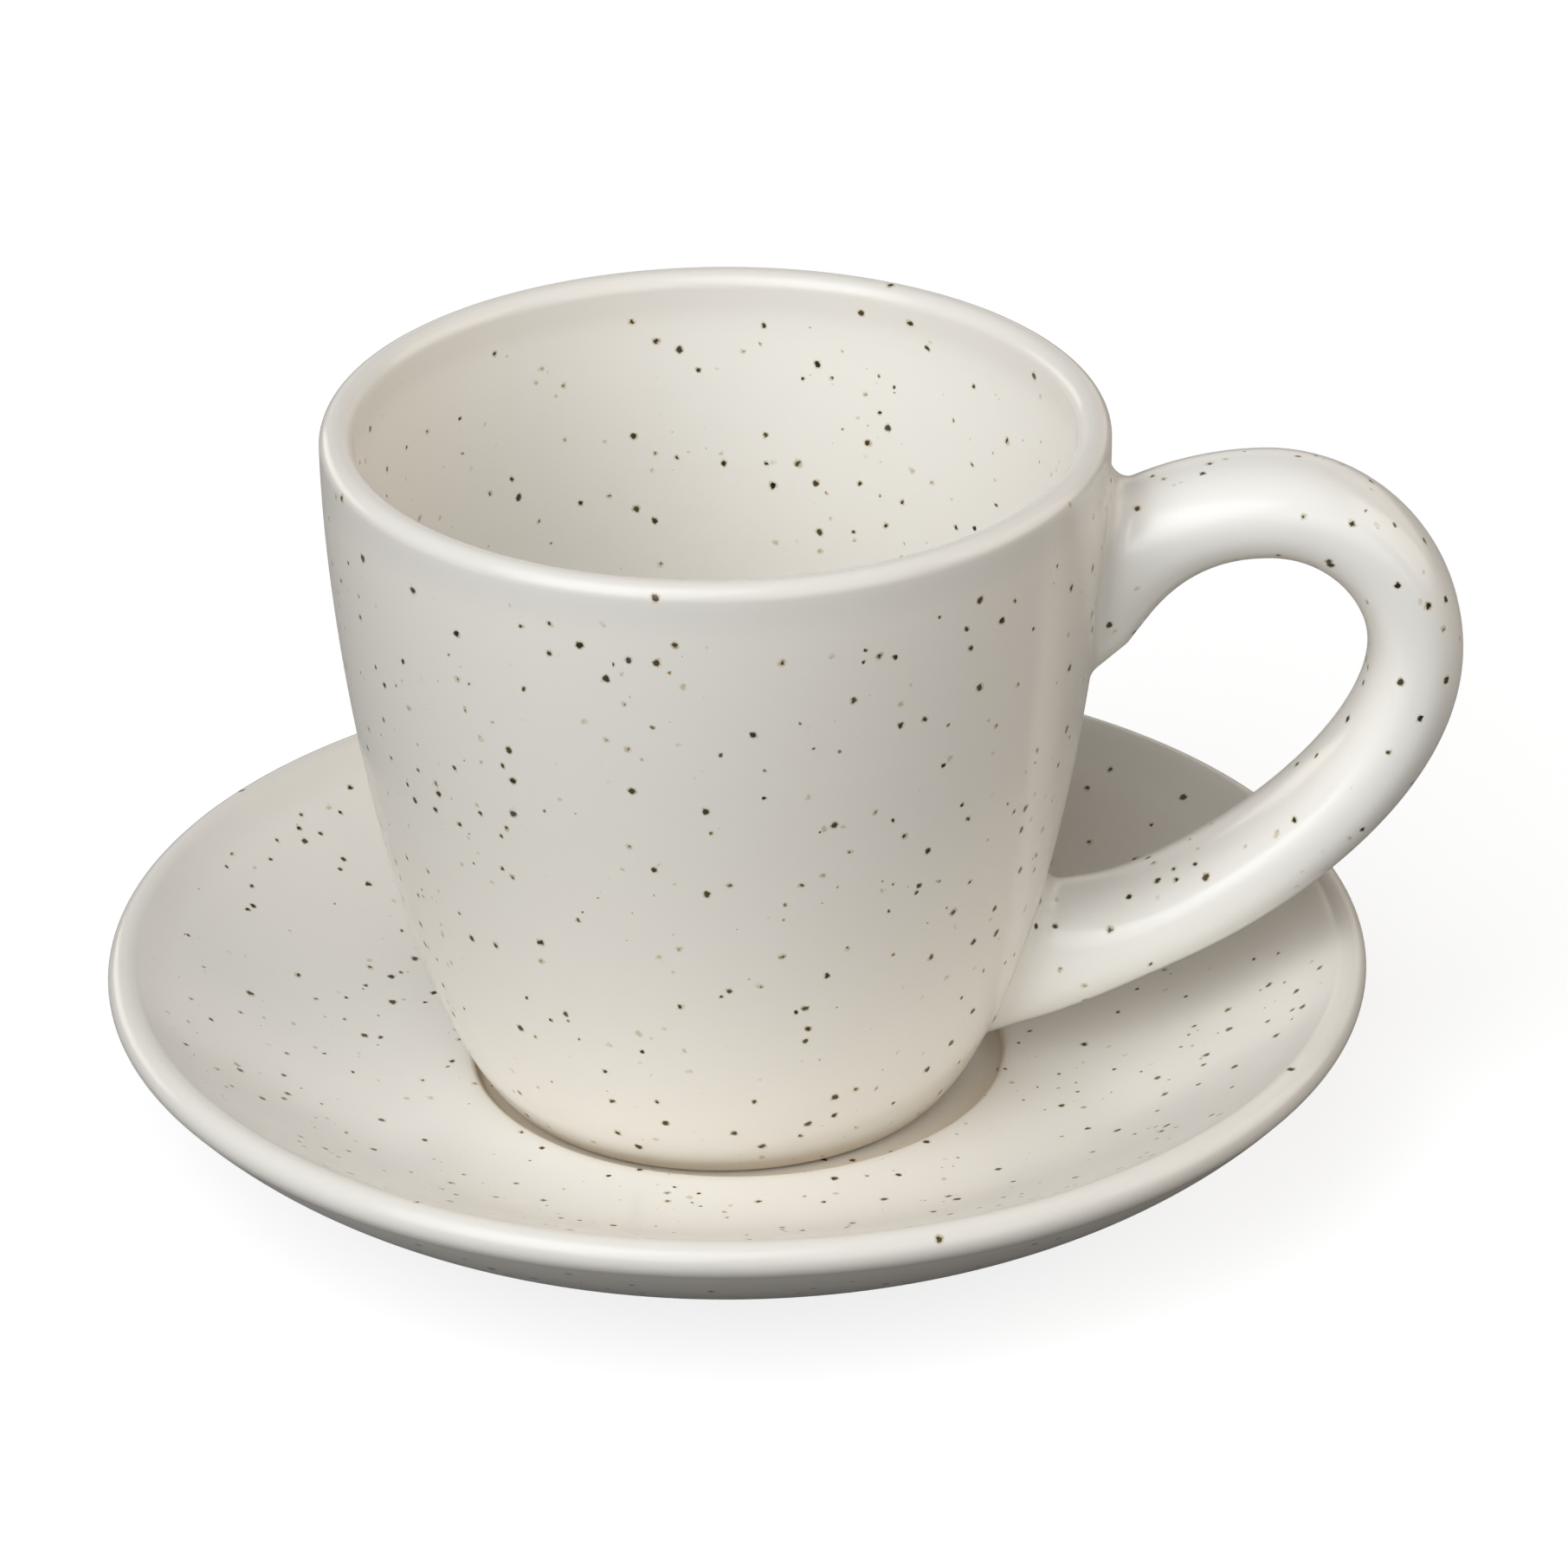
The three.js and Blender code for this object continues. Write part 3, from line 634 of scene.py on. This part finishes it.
    shader = node(tree, "ShaderNodeBsdfPrincipled", {
        "Base Color": colour.outputs[MIXED], "Roughness": rough.outputs["Result"], "IOR": GLAZE_IOR,
        "Normal": bump.outputs["Normal"]})
    node(tree, "ShaderNodeOutputMaterial", {"Surface": shader.outputs["BSDF"]})
    print(name, "has", len(tree.nodes), "nodes")
    return material


# %% [markdown]
# ## Putting the pieces on their bodies
# Each surface takes the place of its faceted solid, and moves with that solid's body: the cup and its handle
# lift off together, and the saucer stays on the table. The cup and its handle share one seed, because they
# come from one batch of clay and the grains run on from one to the other.

# %% Pieces, bodies and finishes
for piece, body, solid, slot, seed, tones in (
        (saucer, "saucer", "saucer", "saucer_glaze", 0.37, ("#EBE7DF", "#E9E6E0")),
        (cup, "cup", "cup_body", "cup_glaze", 0.11, ("#ECE6DC", "#E9E6DE")),
        (handle, "cup", "handle", "handle_glaze", 0.11, ("#ECE6DC", "#E9E6DE"))):
    piece.data.materials.append(speckled_glaze("speckled_stoneware_" + solid, seed, *tones))
    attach(piece, body)
    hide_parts(solid)

# %% [markdown]
# ## The floor
# The floor is a pale sheet. The picture's background is plain white, so the camera sees the sheet partly as a
# white glow, and the rest of what it sees is the light that falls there, which keeps the shadow of the set.
# For other rays the sheet is darker, and a gloss sees something between, because the photographed saucer is
# dark underneath: little light comes back to it from below. The sheet lies a hair below the foot ring, so
# that no two faces fall together.

# %% The floor
FLOOR_SIDE, FLOOR_LEVEL = 3.0, -0.05 * MM
FLOOR_PALE, FLOOR_GREY = "#FAFAFA", "#5A554D"
GLOW_STRENGTH, GLOW_SHARE, MIRROR_SHARE = 1.17, 0.7, 0.4

corners = np.array([(-1, -1, 0), (1, -1, 0), (1, 1, 0), (-1, 1, 0)]) * FLOOR_SIDE / 2
floor_mesh = bpy.data.meshes.new("floor")
floor_mesh.from_pydata(corners + (0, 0, FLOOR_LEVEL), [], [(0, 1, 2, 3)])
floor = bpy.data.objects.new("floor", floor_mesh)
scene.collection.objects.link(floor)

sheet = bpy.data.materials.new("pale_floor")
sheet.use_nodes = True
tree = sheet.node_tree
tree.nodes.clear()
path = node(tree, "ShaderNodeLightPath")
grey = node(tree, "ShaderNodeBsdfDiffuse", {"Color": linear(FLOOR_GREY)})
pale = node(tree, "ShaderNodeBsdfDiffuse", {"Color": linear(FLOOR_PALE)})
glow = node(tree, "ShaderNodeEmission", {"Color": linear("#FFFFFF"), "Strength": GLOW_STRENGTH})
seen = node(tree, "ShaderNodeMixShader", {0: GLOW_SHARE, 1: pale.outputs[0], 2: glow.outputs[0]})
gloss = node(tree, "ShaderNodeMath", {0: path.outputs["Is Glossy Ray"], 1: MIRROR_SHARE},
             operation="MULTIPLY")
mirror = node(tree, "ShaderNodeMixShader", {0: gloss.outputs[0], 1: grey.outputs[0], 2: pale.outputs[0]})
clear = node(tree, "ShaderNodeMath", {
    0: path.outputs["Is Camera Ray"], 1: path.outputs["Is Transmission Ray"]}, operation="MAXIMUM")
both = node(tree, "ShaderNodeMixShader", {0: clear.outputs[0], 1: mirror.outputs[0], 2: seen.outputs[0]})
node(tree, "ShaderNodeOutputMaterial", {"Surface": both.outputs[0]})
floor_mesh.materials.append(sheet)
print("the floor is", FLOOR_SIDE, "m across")

# %% [markdown]
# ## The lamps
# The picture's shading says where its light came from: a large soft sheet high on the front left with a
# brighter patch in it, which gives the narrow highlights on the rim and the handle, and weaker light from the
# front right and from the right. Low lamps behind keep the far side from going black. Each lamp has a level
# instead of watts: at level 1 it lights a white sheet that faces it to plain white, so the levels can be
# compared. They were set by comparing the brightness of the rendering with the picture's, place by place.

# %% The lights
LAMP_DISTANCE = 1.0
AIM = Vector((0, 0, 0.03))


def soft_light(name, azimuth, elevation, width, height, level, colour):
    """Soft box on a dome round the set. The azimuth is 0 at the camera's side and grows to the right.

    A sheet that faces a lamp of P watts at the distance d gets P / (pi d^2) watts per square metre, and a
    white one sends out that much over pi, so P = level * pi^2 * d^2 gives the brightness level."""
    turn, lift = math.radians(azimuth), math.radians(elevation)
    way = Vector((math.sin(turn) * math.cos(lift), -math.cos(turn) * math.cos(lift), math.sin(lift)))
    data = bpy.data.lights.new(name, "AREA")
    data.shape = "RECTANGLE"
    data.size, data.size_y = width, height
    data.color = linear(colour)[:3]
    data.energy = level * (math.pi * LAMP_DISTANCE) ** 2
    lamp = bpy.data.objects.new(name, data)
    facing = way.to_track_quat("Z", "Y").to_matrix().to_4x4()
    lamp.matrix_world = Matrix.Translation(AIM + LAMP_DISTANCE * way) @ facing
    scene.collection.objects.link(lamp)
    print(name, "lamp,", round(data.energy, 1), "watts")


# Each lamp: azimuth and elevation in degrees, width and height in metres, level, colour.
soft_light("key", 322, 42, 0.5, 0.8, 0.23, "#FAFCFF")
soft_light("key_sheet", 326, 43, 1.1, 1.3, 1.11, "#FAFCFF")
soft_light("front_right", 30, 22, 0.8, 0.8, 0.20, "#F8FBFF")
soft_light("right", 98, 25, 0.9, 0.7, 0.36, "#FFF2E2")
soft_light("right_back", 142, 11, 0.5, 0.3, 0.03, "#FFF2E2")
soft_light("back", 180, 11, 0.8, 0.3, 0.04, "#FFF2E2")
soft_light("left_back", 226, 11, 0.7, 0.3, 0.12, "#FFF4E6")

# %% [markdown]
# ## The world
# A white world would light the set from all sides and wash out its shading. So the world is white to the
# camera and to rays that pass through something clear, gives no light to dull surfaces, and shows at half
# strength in reflections, where it stands for the pale walls of a room.

# %% The world
WORLD_MIRROR = 0.5  # how bright the white room is in reflections

world = bpy.data.worlds.new("studio")
scene.world = world
world.use_nodes = True
tree = world.node_tree
tree.nodes.clear()
path = node(tree, "ShaderNodeLightPath")
clear = node(tree, "ShaderNodeMath", {
    0: path.outputs["Is Camera Ray"], 1: path.outputs["Is Transmission Ray"]}, operation="MAXIMUM")
mirror = node(tree, "ShaderNodeMath", {0: path.outputs["Is Glossy Ray"], 1: WORLD_MIRROR},
              operation="MULTIPLY")
strength = node(tree, "ShaderNodeMath", {0: clear.outputs[0], 1: mirror.outputs[0]}, operation="MAXIMUM")
sky = node(tree, "ShaderNodeBackground", {"Color": linear("#FFFFFF"), "Strength": strength.outputs[0]})
node(tree, "ShaderNodeOutputWorld", {"Surface": sky.outputs[0]})
print("the world is white to the camera and", WORLD_MIRROR, "in reflections")
